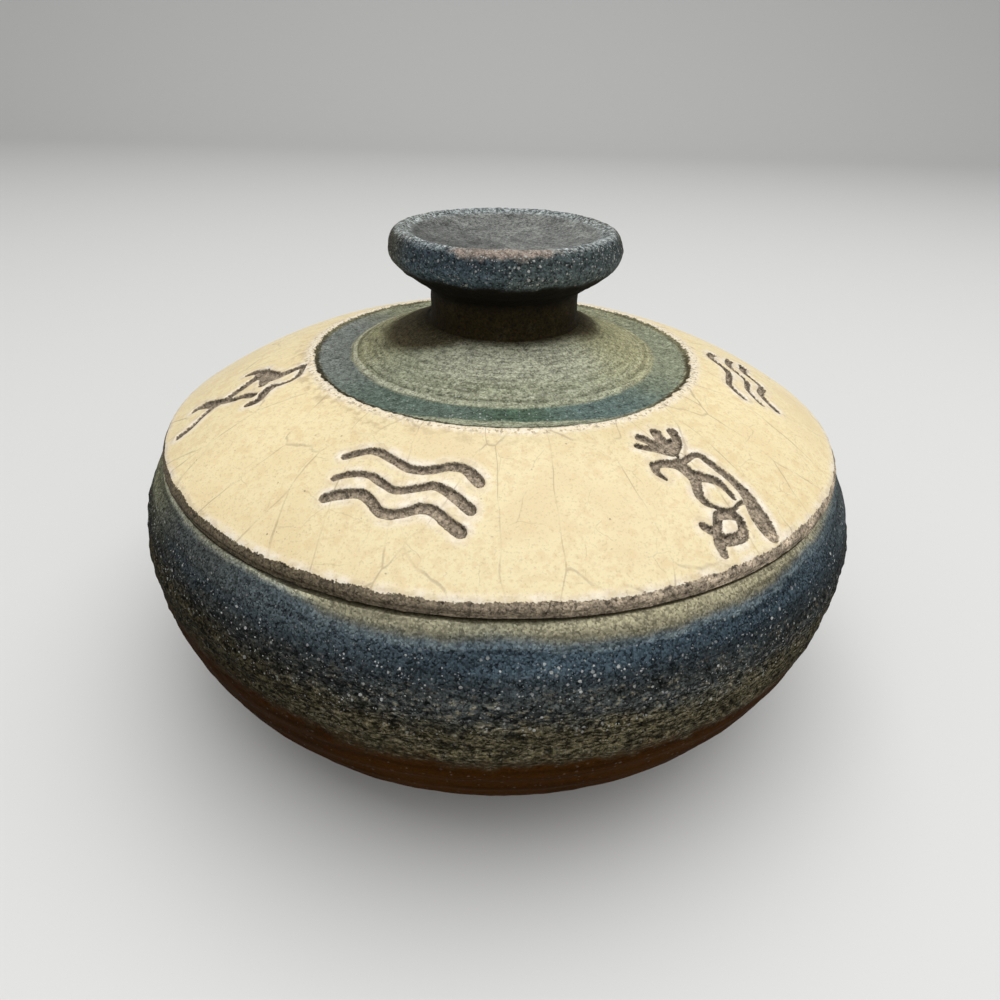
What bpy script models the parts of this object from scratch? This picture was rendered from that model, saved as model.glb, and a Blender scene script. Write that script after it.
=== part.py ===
"""Lidded raku jar, in metres with +Z up: a thrown bowl and a lift-off lid with its flange and knob.

The origin is the middle of the foot, on the surface that the jar stands on. Every piece is thrown on the
wheel, so each one is a profile swept about the jar's axis. The flange and the knob are luted to the lid,
and the thin gap on either side of the lid there is the layer of slip that holds them.
"""

import math

import bpy

MM = 0.001

# Bowl
BELLY_RADIUS = 100 * MM
BELLY_HEIGHT = 56.1 * MM
SHOULDER_RISE = 19.4 * MM
RIM_RADIUS = 92.5 * MM
RIM_WIDTH = 8 * MM
RIM_BEVEL = 0.8 * MM
WALL = 6.5 * MM
FLOOR = 8 * MM
FOOT_RADIUS = 54 * MM
FOOT_HEIGHT = 2.8 * MM
FOOT_RING_WIDTH = 9 * MM
FOOT_BEVEL = 1 * MM

# Lid, measured from its seat on the bowl's rim
SEAT_GAP = 0.3 * MM
LID_EDGE_HEIGHT = 3.2 * MM
LID_EDGE_BEVEL = 0.6 * MM
CONE_RISE = 17.9 * MM
CONE_SWELL = 2.1 * MM
CROWN_EDGE_RADIUS = 52 * MM
TROUGH_WIDTH = 10.4 * MM
TROUGH_DEPTH = 0.6 * MM
RIDGE_RISE = 0.3 * MM
CROWN_RISE = 8.9 * MM
LID_WALL = 7 * MM

# Locating flange under the lid
SLIP = 0.3 * MM
FLANGE_CLEARANCE = 1.5 * MM
FLANGE_WIDTH = 4.5 * MM
FLANGE_DROP = 9 * MM
FLANGE_BEVEL = 1 * MM

# Knob, measured from the crown of the lid
NECK_RADIUS = 19.8 * MM
NECK_HEIGHT = 7.9 * MM
NECK_TOE = 1.2 * MM
LIP_RADIUS = 30.5 * MM
LIP_UNDER_RISE = 10.5 * MM
LIP_OVER_RISE = 5.2 * MM
LIP_ROLL = 3.5 * MM
LIP_SWEEP = 1.5
DISH_DEPTH = 4.5 * MM
DISH_POWER = 3

# Fineness of the turned surfaces
TURN_STEPS = 48
ARC_STEPS = 6
LONG_ARC_STEPS = 12
AXIS_MERGE = 0.00001

# Where the pieces meet
rim_height = BELLY_HEIGHT + SHOULDER_RISE
rim_inner_radius = RIM_RADIUS - RIM_WIDTH
floor_height = FOOT_HEIGHT + FLOOR
seat_height = rim_height + SEAT_GAP
flange_radius = rim_inner_radius - FLANGE_CLEARANCE
flange_inner_radius = flange_radius - FLANGE_WIDTH
knob_base_radius = NECK_RADIUS + NECK_TOE
ridge_radius = CROWN_EDGE_RADIUS - TROUGH_WIDTH
crown_edge_height = LID_EDGE_HEIGHT + CONE_RISE
ridge_height = crown_edge_height + RIDGE_RISE
crown_height = ridge_height + CROWN_RISE


def arc(centre, radii, start, end, steps=ARC_STEPS):
    """Points (radius, height) of an elliptical arc from one angle to another, in degrees."""
    points = []
    for i in range(steps + 1):
        angle = math.radians(start + (end - start) * i / steps)
        points.append((centre[0] + radii[0] * math.cos(angle), centre[1] + radii[1] * math.sin(angle)))
    return points


def shoulder(belly, rim):
    """Points from the belly up to the rim, upright at the belly and drawing in towards the rim."""
    points = []
    for i in range(ARC_STEPS + 1):
        t = i / ARC_STEPS
        points.append((belly[0] + (rim[0] - belly[0]) * t * t, belly[1] + (rim[1] - belly[1]) * t))
    return points


def bowed(start, end, bow):
    """Points from start to end whose middle stands above the straight line by bow."""
    points = []
    for i in range(ARC_STEPS + 1):
        t = i / ARC_STEPS
        height = start[1] + (end[1] - start[1]) * t + bow * 4 * t * (1 - t)
        points.append((start[0] + (end[0] - start[0]) * t, height))
    return points


def swept_under(lip, neck):
    """Points from the lip in to the neck, upright at both ends; a greater LIP_SWEEP thins the lip."""
    points = []
    for i in range(LONG_ARC_STEPS + 1):
        t = i / LONG_ARC_STEPS
        reach = (lip[0] - neck[0]) * (1 - t * t) ** LIP_SWEEP
        points.append((neck[0] + reach, lip[1] + (neck[1] - lip[1]) * t))
    return points


def dished(crest):
    """Points from the middle of the dish out to its crest; a greater DISH_POWER makes its floor flatter."""
    points = []
    for i in range(ARC_STEPS + 1):
        t = i / ARC_STEPS
        points.append((crest[0] * t, crest[1] - DISH_DEPTH * (1 - t**DISH_POWER)))
    return points


def without_repeats(points):
    """The points, leaving out each one that falls on the point before it."""
    kept = [points[0]]
    for point in points[1:]:
        if math.dist(point, kept[-1]) > AXIS_MERGE:
            kept.append(point)
    return kept


def clay(name, colour, roughness):
    """A fired clay or glaze of one colour."""
    material = bpy.data.materials.new(name)
    material.use_nodes = True
    shader = material.node_tree.nodes["Principled BSDF"]
    shader.inputs["Base Color"].default_value = (*colour, 1)
    shader.inputs["Roughness"].default_value = roughness
    shader.inputs["Metallic"].default_value = 0
    return material


def turned(name, profile, material, parent, height, ring=False):
    """A piece turned about the jar's axis from (radius, height) points that run down its outer side."""
    points = without_repeats(profile)
    edges = [(i, i + 1) for i in range(len(points) - 1)]
    if ring:
        edges.append((len(points) - 1, 0))
    mesh = bpy.data.meshes.new(name)
    mesh.from_pydata([(radius, 0, z) for radius, z in points], edges, [])
    mesh.materials.append(material)
    piece = bpy.data.objects.new(name, mesh)
    piece.parent = parent
    piece.location = (0, 0, height)
    jar.objects.link(piece)
    screw = piece.modifiers.new("throwing", "SCREW")
    screw.axis = "Z"
    screw.angle = 2 * math.pi
    screw.steps = TURN_STEPS
    screw.render_steps = TURN_STEPS
    screw.use_merge_vertices = True
    screw.merge_threshold = AXIS_MERGE
    screw.use_smooth_shade = True
    return piece


def empty(name, height):
    """A frame on the jar's axis that carries other pieces."""
    carrier = bpy.data.objects.new(name, None)
    carrier.location = (0, 0, height)
    carrier.empty_display_size = RIM_RADIUS
    jar.objects.link(carrier)
    return carrier


def bowl_profile():
    """From the middle of the floor, up the inside, over the rim and down the outside to the foot."""
    inner_belly = (BELLY_RADIUS - WALL, BELLY_HEIGHT)
    floor_radius = FOOT_RADIUS - WALL
    belly_reach = BELLY_RADIUS - FOOT_RADIUS
    inner_drop = BELLY_HEIGHT - floor_height
    outer_drop = BELLY_HEIGHT - FOOT_HEIGHT
    ring_inner_radius = FOOT_RADIUS - FOOT_RING_WIDTH
    points = [(0, floor_height)]
    points += arc((floor_radius, BELLY_HEIGHT), (belly_reach, inner_drop), -90, 0, LONG_ARC_STEPS)
    points += shoulder(inner_belly, (rim_inner_radius, rim_height - RIM_BEVEL))
    points += [(rim_inner_radius + RIM_BEVEL, rim_height), (RIM_RADIUS - RIM_BEVEL, rim_height)]
    points += reversed(shoulder((BELLY_RADIUS, BELLY_HEIGHT), (RIM_RADIUS, rim_height - RIM_BEVEL)))
    points += arc((FOOT_RADIUS, BELLY_HEIGHT), (belly_reach, outer_drop), 0, -90, LONG_ARC_STEPS)
    points += [(FOOT_RADIUS, FOOT_BEVEL), (FOOT_RADIUS - FOOT_BEVEL, 0), (ring_inner_radius, 0)]
    points += [(ring_inner_radius, FOOT_HEIGHT), (0, FOOT_HEIGHT)]
    return points


def lid_profile():
    """From the crown down the cone to the edge, in across the seat and up the hollow underside."""
    crown_edge = (CROWN_EDGE_RADIUS, crown_edge_height)
    ridge = (ridge_radius, ridge_height)
    glaze_edge = (RIM_RADIUS - LID_EDGE_BEVEL, LID_EDGE_HEIGHT)
    under_ridge = ridge_height - LID_WALL
    dome_rise = under_ridge / math.sqrt(1 - (ridge_radius / flange_inner_radius) ** 2)
    points = [(0, crown_height), (knob_base_radius, crown_height)]
    points += bowed(ridge, crown_edge, -TROUGH_DEPTH)
    points += bowed(crown_edge, glaze_edge, CONE_SWELL)
    points += [(RIM_RADIUS, LID_EDGE_HEIGHT - LID_EDGE_BEVEL), (RIM_RADIUS, LID_EDGE_BEVEL)]
    points += [(RIM_RADIUS - LID_EDGE_BEVEL, 0)]
    points += arc((0, 0), (flange_inner_radius, dome_rise), 0, 90, LONG_ARC_STEPS)
    return points


def flange_profile():
    """The square ring, bevelled where it enters the bowl."""
    bottom = -FLANGE_DROP
    points = [(flange_inner_radius, 0), (flange_radius, 0), (flange_radius, bottom + FLANGE_BEVEL)]
    points += [(flange_radius - FLANGE_BEVEL, bottom), (flange_inner_radius, bottom)]
    return points


def knob_profile():
    """From the dished top over the lip, in under it to the neck, and out to the base."""
    lip_height = NECK_HEIGHT + LIP_UNDER_RISE
    crest = (LIP_RADIUS - LIP_ROLL, lip_height + LIP_OVER_RISE)
    points = dished(crest)
    points += arc((crest[0], lip_height), (LIP_ROLL, LIP_OVER_RISE), 90, 0)
    points += swept_under((LIP_RADIUS, lip_height), (NECK_RADIUS, NECK_HEIGHT))
    points += arc((knob_base_radius, NECK_TOE), (NECK_TOE, NECK_TOE), 180, 270)
    points += [(0, 0)]
    return points


for old in list(bpy.data.objects):
    bpy.data.objects.remove(old, do_unlink=True)
jar = bpy.data.collections.new("raku_jar")
bpy.context.scene.collection.children.link(jar)

foot_centre = empty("foot_centre", 0)
lid_lift = empty("lid_lift", seat_height)

smoked_clay = clay("smoked_clay", (0.055, 0.075, 0.095), 0.85)
ivory_glaze = clay("ivory_glaze", (0.78, 0.63, 0.40), 0.35)
bare_clay = clay("bare_clay", (0.09, 0.075, 0.06), 0.9)
copper_glaze = clay("matte_copper_glaze", (0.09, 0.12, 0.125), 0.75)

turned("bowl", bowl_profile(), smoked_clay, foot_centre, 0)
turned("lid", lid_profile(), ivory_glaze, lid_lift, 0)
turned("lid_flange", flange_profile(), bare_clay, lid_lift, -SLIP, ring=True)
turned("knob", knob_profile(), copper_glaze, lid_lift, crown_height + SLIP)
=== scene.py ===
"""Looks of the lidded raku jar, in metres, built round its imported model.

Every piece is thrown on the wheel: a flat slab of rows and columns is cut finer where it is carved, then
rolled onto the outline of the piece and pushed in or out by its carving, its glaze and the marks of making.
The carving and the edges of the glaze are kept on the mesh, so that the finishes follow the same lines.
"""

import itertools
import math

import bmesh
import bpy
import numpy as np
from mathutils import Matrix, Vector


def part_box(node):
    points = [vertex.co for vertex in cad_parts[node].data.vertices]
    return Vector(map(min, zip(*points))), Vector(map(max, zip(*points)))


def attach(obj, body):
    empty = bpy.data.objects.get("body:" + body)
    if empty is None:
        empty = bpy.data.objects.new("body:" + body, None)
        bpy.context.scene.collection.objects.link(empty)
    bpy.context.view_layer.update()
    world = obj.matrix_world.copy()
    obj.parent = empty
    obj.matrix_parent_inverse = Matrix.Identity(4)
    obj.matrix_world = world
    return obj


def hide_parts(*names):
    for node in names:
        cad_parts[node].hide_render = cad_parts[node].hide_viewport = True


bl_info = {
    "name": "Raku Jar",
    "version": (1, 0, 0),
    "blender": (4, 5, 0),
    "location": "3D View > Sidebar > Raku Jar",
    "description": "Throws, carves and glazes a lidded raku jar",
    "category": "Object",
}

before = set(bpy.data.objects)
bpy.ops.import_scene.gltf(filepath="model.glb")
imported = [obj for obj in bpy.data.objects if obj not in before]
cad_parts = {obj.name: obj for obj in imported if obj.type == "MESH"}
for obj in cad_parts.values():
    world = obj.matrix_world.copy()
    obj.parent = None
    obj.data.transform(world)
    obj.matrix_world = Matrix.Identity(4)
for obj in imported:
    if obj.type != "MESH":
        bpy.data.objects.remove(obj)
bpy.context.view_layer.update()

MM = 0.001
UV_NAME = "OFBake"

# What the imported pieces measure
bowl_low, bowl_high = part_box("bowl")
lid_low, lid_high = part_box("lid")
flange_low, flange_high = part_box("lid_flange")
knob_low, knob_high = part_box("knob")
BELLY_RADIUS = bowl_high.x
RIM_HEIGHT = bowl_high.z
SEAT_HEIGHT = lid_low.z
LID_RADIUS = lid_high.x
CROWN_HEIGHT = lid_high.z
FLANGE_RADIUS = flange_high.x
FLANGE_BOTTOM = flange_low.z
LIP_RADIUS = knob_high.x
KNOB_BASE = knob_low.z
KNOB_TOP = knob_high.z

# Outline of the bowl
BELLY_HEIGHT = 56.1 * MM
RIM_RADIUS = 92.5 * MM
RIM_WIDTH = 8 * MM
WALL = 6.5 * MM
FLOOR_HEIGHT = 10.8 * MM
FOOT_RADIUS = 54 * MM
FOOT_HEIGHT = 2.8 * MM
FOOT_RING_WIDTH = 9 * MM

# Outline of the lid, with heights above its seat
LID_EDGE_HEIGHT = 3.2 * MM
LID_BEVEL = 0.6 * MM
CONE_SWELL = 2.1 * MM
CROWN_EDGE = (52 * MM, 21.1 * MM)
RIDGE = (41.6 * MM, 21.4 * MM)
TROUGH_DEPTH = 0.6 * MM
LID_WALL = 7 * MM
FLANGE_WIDTH = 4.5 * MM
LUTING = 0.5 * MM

# The edge of the lid: where its glaze ends above the widest point, the line scored below that, and a chip
GLAZE_MARGIN = 2.2 * MM
SCORE_DROP = 0.9 * MM
SCORE_WIDTH = 0.25 * MM
SCORE_DEPTH = 0.25 * MM
CHIP_TURN = math.radians(79)
CHIP_WIDTH = 1.6 * MM
CHIP_DEPTH = 0.9 * MM
CHIP_REACH = 4 * MM

# Turned rings of the crown as (radius, height), and how wide they are
LEDGE_WIDTH = 0.5 * MM
CROWN_LEDGES = (
    (38.2 * MM, 0.12 * MM),
    (39.6 * MM, -0.12 * MM),
    (40.9 * MM, 0.22 * MM),
)

# Outline of the knob, with heights above its base
NECK_RADIUS = 19.8 * MM
NECK_HEIGHT = 7.9 * MM
NECK_TOE = 1.2 * MM
LIP_HEIGHT = 18.4 * MM
LIP_ROLL = 3.5 * MM
LIP_SWEEP = 1.5
DISH_DEPTH = 4.5 * MM
DISH_POWER = 3

# How far apart the finger rings are on the bowl, the knob and the crown
BOWL_RING_GAP = 7.5 * MM
KNOB_RING_GAP = 4.2 * MM
CROWN_RING_GAPS = (1.9 * MM, 3.1 * MM)

# Fineness of the meshes
PATH_SAMPLES = 200
FINE_STEP = 0.1 * MM
WELD = 0.001 * MM
TINY = 1e-12
BOWL_COLUMNS = 560
LID_COLUMNS = 360
KNOB_COLUMNS = 440
FLANGE_COLUMNS = 240
CARVE_CUTS = 3
CARVE_MARGIN = 1.6 * MM
STROKE_STEPS = 6

# How the tearing is drawn out round the bowl
TEAR = np.array([0.45, 0.45, 1.0])

# Large odd numbers that scatter the cells of the seeded noise
SCATTER = np.array([374761393, 668265263, 974634541])
SEED_SCATTER = 1274126177

# How much bare clay shines, and the dry clay of the bowl
CLAY_SHEEN = 0.12
DRY_SHEEN = 0.03

# Height of the fine relief that the finishes show
GRIT_DEPTH = 0.2 * MM
KNOB_GRIT_DEPTH = 0.22 * MM

# The bowl's colours by their share of the rim's height
BOWL_COLOURS = (
    (0.0, "rust"),
    (0.54, "rust"),
    (0.61, "olive"),
    (0.70, "olive"),
    (0.77, "charcoal"),
    (0.82, "charcoal"),
    (0.90, "steel"),
)

# Heights between which each band of the bowl fades in, painted light and painted shade among them
CLIMBING = (75 * MM, 62 * MM)
WORN = (66 * MM, 58 * MM)
DULLED = (63 * MM, 69 * MM)
TANNED = (56 * MM, 66 * MM)
LEFT_PAINTED_SHADE = (69 * MM, 63 * MM)
RIGHT_PAINTED_SHADE = (64 * MM, 58 * MM)
GILDED = (72.5 * MM, 75.2 * MM)
RIM_PAINTED_LIGHT = (73 * MM, RIM_HEIGHT - 0.3 * MM)
RIM_PAINTED_LINE = (RIM_HEIGHT - 1.7 * MM, RIM_HEIGHT - 0.5 * MM)
SEAT_PAINTED_SHADE = (RIM_HEIGHT - 0.2 * MM, RIM_HEIGHT)
TORN_FROM = (40 * MM, 47 * MM)
TORN_TO = (68 * MM, 55 * MM)
SHREDS_FROM = (40 * MM, 48 * MM)
SHREDS_TO = (72 * MM, 58 * MM)
GRITTY_FROM = (38 * MM, 50 * MM)
SMOOTH_FROM = (71 * MM, 74 * MM)
BLUE_FROM = (62 * MM, 67 * MM)
GROG_FROM = (48 * MM, 57 * MM)
GROG_TO = (73 * MM, 67 * MM)

# Patches of painted shade on the bowl: degrees round from the front, spread, height, reach, strength
BOWL_PAINTED_SHADE = (
    (38, 38, 64.5 * MM, 7 * MM, 1.0),
    (-20, 26, 65.5 * MM, 5 * MM, 0.8),
    (-26, 24, 57 * MM, 7 * MM, 0.6),
)

# The painted light on the front of the belly and the mist below the gold, as height and reach
BELLY_PAINTED_LIGHT = (54 * MM, 13 * MM)
MIST_LINE = (72.9 * MM, 1.4 * MM)

# The lid: heights above its seat of the bare edge, the painted shade along the seam and in the scored line,
# with its reach
EDGE_FROM = (5 * MM, 4 * MM)
SEAM_FROM = (0.35 * MM, 0.05 * MM)
SCORED_LINE = (1.75 * MM, 0.35 * MM)

# The lid: radii of the cracks, the pale ring of the crown with its reach, partly painted light, the belt and
# the painted shade by the neck
CRACK_RADIUS = 70 * MM
CROWN_LIGHT = (28 * MM, 8 * MM)
BELT_FROM = (41.2 * MM, 42.6 * MM)
BELT_OUTER = 50.6 * MM
NECK_SHADE_REACH = 29.5 * MM
NECK_SHADE_CORE = (25 * MM, 21 * MM)

# The knob: heights above its base of the lip and its crystals, radii of the dish, its rim and the flash
LIP_FROM = (14.2 * MM, 15.8 * MM)
CRYSTALS_FROM = (14.2 * MM, 16 * MM)
DISH_FROM = (26 * MM, 24 * MM)
DISH_RIM = (26.6 * MM, 3 * MM)
FLASH_RADIUS = 28.2 * MM
FLASH_WIDTH = 1.6 * MM

# Colour of the light that the floor throws back at the jar
FLOOR_BOUNCE = (0.35, 0.35, 0.35)

# Lamps as (width, place), and the floor that curves up into a backdrop
KEY_LAMP = (1.7, (0.14, -0.05, 1.40))
FILL_LAMP = (0.9, (0.35, -0.95, 0.55))
FLOOR_REACH = 6.0
BACKDROP_PLACE = 1.4
BACKDROP_CURVE = 0.8
BACKDROP_HEIGHT = 3.0
BACKDROP_STEPS = 16
SENSOR_WIDTH = 36

# Carved signs as strokes of (width at the start, width at the end, points), in millimetres, across and
# outwards from the middle of the sign, and how far a sign reaches from there
SIGN_REACH = 26
WAVES = (
    (
        1.9,
        2.4,
        ((-15.7, -2.7), (-14.0, -4.1), (-10.9, -6.0), (-8.0, -6.2), (-3.9, -5.0), (0.3, -3.7), (3.7, -3.7)),
    ),
    (2.4, 2.8, ((3.7, -3.7), (6.8, -4.6), (9.9, -5.7), (13.4, -5.0), (16.6, -2.0))),
    (1.6, 1.8, ((-14.2, 2.7), (-12.4, 1.4), (-9.4, 0.2), (-6.7, 0.1), (-3.5, 1.2), (-0.6, 2.0), (2.0, 1.5))),
    (1.8, 2.5, ((2.0, 1.5), (4.8, 0.5), (7.7, -0.2), (10.6, 0.8), (13.2, 2.5), (15.5, 4.3))),
    (2.3, 2.1, ((-13.3, 7.1), (-11.8, 6.1), (-9.1, 4.9), (-6.7, 4.4), (-4.3, 5.2), (-1.5, 6.8), (0.9, 7.0))),
    (2.1, 2.5, ((0.9, 7.0), (3.4, 6.1), (5.9, 5.0), (8.4, 5.1), (11.2, 6.7), (14.2, 8.5))),
)
PLUMED = (
    (2.0, 2.3, ((-9.4, -13.6), (-5.7, -11.3), (-2.1, -8.7))),
    (3.2, 3.2, ((-6.6, -16.0), (-4.3, -12.9), (-1.8, -9.3))),
    (3.5, 3.6, ((-0.4, -16.2), (-1.3, -13.4), (-1.4, -9.7))),
    (3.2, 2.1, ((4.6, -14.4), (3.2, -11.4), (-0.3, -8.9))),
    (3.8, 4.4, ((-3.0, -11.6), (1.0, -10.8))),
    (1.4, 1.1, ((-0.4, -8.8), (-0.9, -7.8), (-1.2, -6.5))),
    (3.0, 2.0, ((-3.3, -5.4), (-6.4, -6.8), (-9.2, -6.8))),
    (2.5, 1.1, ((-9.2, -6.8), (-9.7, -4.8), (-8.7, -2.8))),
    (1.7, 2.5, ((-1.7, -5.4), (2.5, -6.1), (4.7, -5.6), (5.6, -3.5), (6.2, -1.0), (6.9, 1.3), (7.3, 4.3))),
    (2.5, 4.4, ((7.3, 4.3), (7.2, 6.7), (6.7, 8.8), (5.9, 11.0))),
    (4.4, 3.1, ((5.9, 11.0), (5.5, 12.8), (5.4, 14.0))),
    (4.0, 1.4, ((-2.6, -5.2), (-1.9, -2.8), (-2.0, -0.4), (-3.5, 2.3), (-3.6, 4.1), (-2.8, 5.3))),
    (3.2, 1.4, ((-1.3, -1.6), (1.1, -0.2), (3.1, 1.5), (3.7, 3.6), (3.8, 5.8))),
    (1.0, 0.9, ((-2.3, 5.8), (-0.6, 7.1), (1.6, 7.6), (4.5, 7.1), (6.6, 8.2))),
    (2.0, 2.1, ((-2.9, 7.5), (-0.7, 8.0), (1.0, 9.1), (0.7, 10.6), (-0.5, 12.0), (-2.7, 12.1))),
    (2.1, 2.0, ((-2.7, 12.1), (-5.0, 11.6), (-5.3, 10.2), (-4.1, 8.6), (-2.9, 7.5))),
    (1.9, 2.0, ((-7.5, 8.4), (-6.6, 9.3), (-5.3, 10.0))),
    (2.4, 1.8, ((-5.8, 10.9), (-6.6, 12.3), (-6.9, 13.4))),
)
STRIDING = (
    (2.8, 4.8, ((3.2, -17.2), (3.6, -13.6), (3.5, -9.7), (2.5, -6.9))),
    (1.7, 1.7, ((4.9, -17.0), (8.8, -15.5), (10.8, -12.7), (10.3, -9.6), (9.1, -7.5))),
    (4.6, 5.4, ((-3.8, -4.3), (1.0, -7.2))),
    (3.6, 2.8, ((-0.5, -5.6), (4.6, -4.9))),
    (2.2, 3.4, ((-7.9, -0.1), (-7.0, -2.3), (-4.7, -5.1))),
    (3.6, 2.6, ((-2.5, -3.5), (-1.4, -1.5), (0.6, 1.8), (1.7, 4.7))),
    (2.6, 1.6, ((1.7, 4.7), (2.3, 6.6), (2.9, 9.1), (4.4, 11.3))),
    (1.6, 2.3, ((4.4, 11.3), (5.5, 12.6), (6.2, 13.9), (6.6, 15.5))),
    (2.5, 2.0, ((8.5, -1.7), (6.1, 0.4), (5.0, 2.5), (3.1, 5.2))),
    (3.6, 2.2, ((1.6, 7.1), (-0.7, 9.1), (-2.5, 11.2), (-2.5, 12.6))),
    (3.8, 2.3, ((9.3, -6.4), (10.3, -4.9), (12.3, -3.3), (13.0, -1.6), (12.3, -0.1))),
)

# Where the signs are carved: strokes, degrees round from the front, radius of the middle, tilt, scale
SIGNS = (
    (STRIDING, -75, 70 * MM, 0, 1.0),
    (WAVES, -17, 70 * MM, 0, 1.0),
    (PLUMED, 37, 74 * MM, 0, 1.0),
    (WAVES, 84, 66 * MM, 12, 0.9),
    (STRIDING, 151, 70 * MM, -5, 1.0),
    (WAVES, -142, 69 * MM, 5, 1.0),
)


def length(name, description, default):
    """A length that a user can change."""
    return bpy.props.FloatProperty(
        name=name, description=description, default=default, unit="LENGTH", precision=5
    )


def measure(name, description, default, unit="NONE"):
    """An angle, a power or a plain number that a user can change."""
    return bpy.props.FloatProperty(name=name, description=description, default=default, unit=unit)


def colour(name, description, default):
    """A paint colour that a user can change."""
    return bpy.props.FloatVectorProperty(
        name=name, description=description, default=default, size=3, min=0, max=1, subtype="COLOR"
    )


class JarMarks(bpy.types.PropertyGroup):
    """Depths and heights of the carving, the glaze and the marks of making."""

    carve_depth: length("Carving depth", "How deep the signs are cut below the bare clay", 0.7 * MM)
    glaze_thickness: length("Glaze thickness", "How far the ivory glaze stands above the clay", 0.4 * MM)
    glaze_roll: length("Glaze roll", "How far the glaze swells where it ends", 0.08 * MM)
    throwing_rings: length("Throwing rings", "Height of the finger rings on the bowl", 0.22 * MM)
    tearing: length("Tearing", "Height of the torn clay on the belly", 0.32 * MM)
    coarseness: length("Coarseness", "Height of the lumps in the groggy clay", 0.16 * MM)
    wobble: length("Wobble", "How far the hand-thrown forms leave a true circle", 0.3 * MM)
    seed: bpy.props.IntProperty(
        name="Seed", description="Which of the chance patterns is made", default=7, min=0
    )


class JarColours(bpy.types.PropertyGroup):
    """Colours of the clays and glazes."""

    ivory: colour("Ivory glaze", "The crackle glaze of the lid", (0.89, 0.76, 0.46))
    toasted: colour("Toasted glaze", "Warmer clouds in the glaze", (0.78, 0.60, 0.33))
    ivory_roll: colour("Glaze roll", "The thick glaze along its edges", (0.89, 0.80, 0.64))
    crackle: colour("Crackle", "Smoke in the cracks of the glaze", (0.36, 0.28, 0.18))
    bare_clay: colour("Bare clay", "Smoked clay in the carving and on the lid's edge", (0.30, 0.245, 0.18))
    sage: colour("Sage", "The crown of the lid", (0.31, 0.325, 0.22))
    tan: colour("Tan", "The crown towards its sides", (0.29, 0.28, 0.16))
    # Ridge also paints light onto the front of the crown and its raised ledges
    ridge: colour("Ridge", "Pale flecks and rings on the crown", (0.50, 0.50, 0.38))
    teal: colour("Teal", "The band round the crown", (0.092, 0.132, 0.108))
    emerald: colour("Emerald", "The greenest stretch of the band", (0.055, 0.105, 0.068))
    lagoon: colour("Lagoon", "The bluest stretch of the band", (0.10, 0.15, 0.145))
    slate: colour("Slate", "The grey stretch of the band", (0.18, 0.198, 0.185))
    steel: colour("Steel blue", "Reduced copper on the shoulder and the knob", (0.050, 0.074, 0.092))
    mist: colour("Mist", "The pale line above the blue", (0.22, 0.27, 0.28))
    gold: colour("Gold", "The shoulder below the rim", (0.152, 0.148, 0.104))
    pale_gold: colour("Pale gold", "The shoulder where it caught the flame", (0.205, 0.188, 0.124))
    charcoal: colour("Charcoal", "Smoked clay on the belly", (0.039, 0.044, 0.043))
    olive: colour("Olive", "Torn clay below the belly", (0.066, 0.057, 0.032))
    sand: colour("Sand", "Sandy grains below the belly", (0.235, 0.205, 0.135))
    rust: colour("Rust", "The dark lower bowl", (0.040, 0.0138, 0.0005))
    # Umber and soot also paint shade: round the knob's neck on the crown, on the lid's edge and seam, on top
    # of the bowl's rim and under the knob's lip
    umber: colour("Umber", "Brown smoke by the neck and at the ends of the lip", (0.056, 0.043, 0.020))
    soot: colour("Soot", "Smoke in the pores of the clay and on the neck", (0.019, 0.0125, 0.003))
    grog: colour("Grog", "Pale grains in the clay", (0.60, 0.61, 0.58))
    ash: colour("Ash", "The dish of the knob", (0.15, 0.155, 0.145))
    copper: colour("Copper", "The flashed patch on the lip of the knob", (0.32, 0.25, 0.2))


class JarStage(bpy.types.PropertyGroup):
    """The camera, the lamps and the floor."""

    camera_place: bpy.props.FloatVectorProperty(
        name="Camera place",
        description="Where the camera stands",
        default=(0, -0.203, 0.16876),
        subtype="XYZ",
        unit="LENGTH",
    )
    pitch: measure("Pitch", "How far the camera looks down", math.radians(30.88), "ROTATION")
    yaw: measure("Yaw", "How far the camera turns to the right", math.radians(0.136), "ROTATION")
    roll: measure("Roll", "How far the camera tips", math.radians(1.636), "ROTATION")
    lens: measure("Lens", "Focal length in millimetres", 27)
    key_power: measure("Key lamp", "Power of the lamp overhead", 18.8, "POWER")
    fill_power: measure("Fill lamp", "Power of the lamp in front", 2, "POWER")
    surround: measure("Surround", "Strength of the light from all round", 0.45)
    floor: colour("Floor", "The plain pale floor", (0.72, 0.72, 0.71))


class Field:
    """A value that changes over a surface: a socket whose arithmetic adds Math nodes to its finish."""

    def __init__(self, finish, socket):
        self.finish = finish
        self.socket = socket

    def math(self, operation, *values):
        return self.finish.node("ShaderNodeMath", {"operation": operation}, dict(enumerate(values)))

    def __add__(self, other):
        return self.math("ADD", self, other)

    def __sub__(self, other):
        return self.math("SUBTRACT", self, other)

    def __rsub__(self, other):
        return self.math("SUBTRACT", other, self)

    def __mul__(self, other):
        return self.math("MULTIPLY", self, other)

    def __truediv__(self, other):
        return self.math("DIVIDE", self, other)

    def __rtruediv__(self, other):
        return self.math("DIVIDE", other, self)

    def __pow__(self, other):
        return self.math("POWER", self, other)

    __radd__ = __add__
    __rmul__ = __mul__

    def output(self, name):
        """Another output of the same node."""
        return Field(self.finish, self.socket.node.outputs[name])

    def most(self, other):
        return self.math("MAXIMUM", self, other)

    def least(self, other):
        return self.math("MINIMUM", self, other)

    def step(self, low, high):
        """0 at low and 1 at high, smooth between; low may be the greater."""
        return self.finish.node(
            "ShaderNodeMapRange",
            {"interpolation_type": "SMOOTHSTEP"},
            {"Value": self, "From Min": low, "From Max": high, "To Min": 0.0, "To Max": 1.0},
        )

    def near(self, middle, reach):
        """1 at middle, fading to 0 at reach on either side of it."""
        off = self - middle
        return (off * off).step(reach * reach, 0.0)


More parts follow.
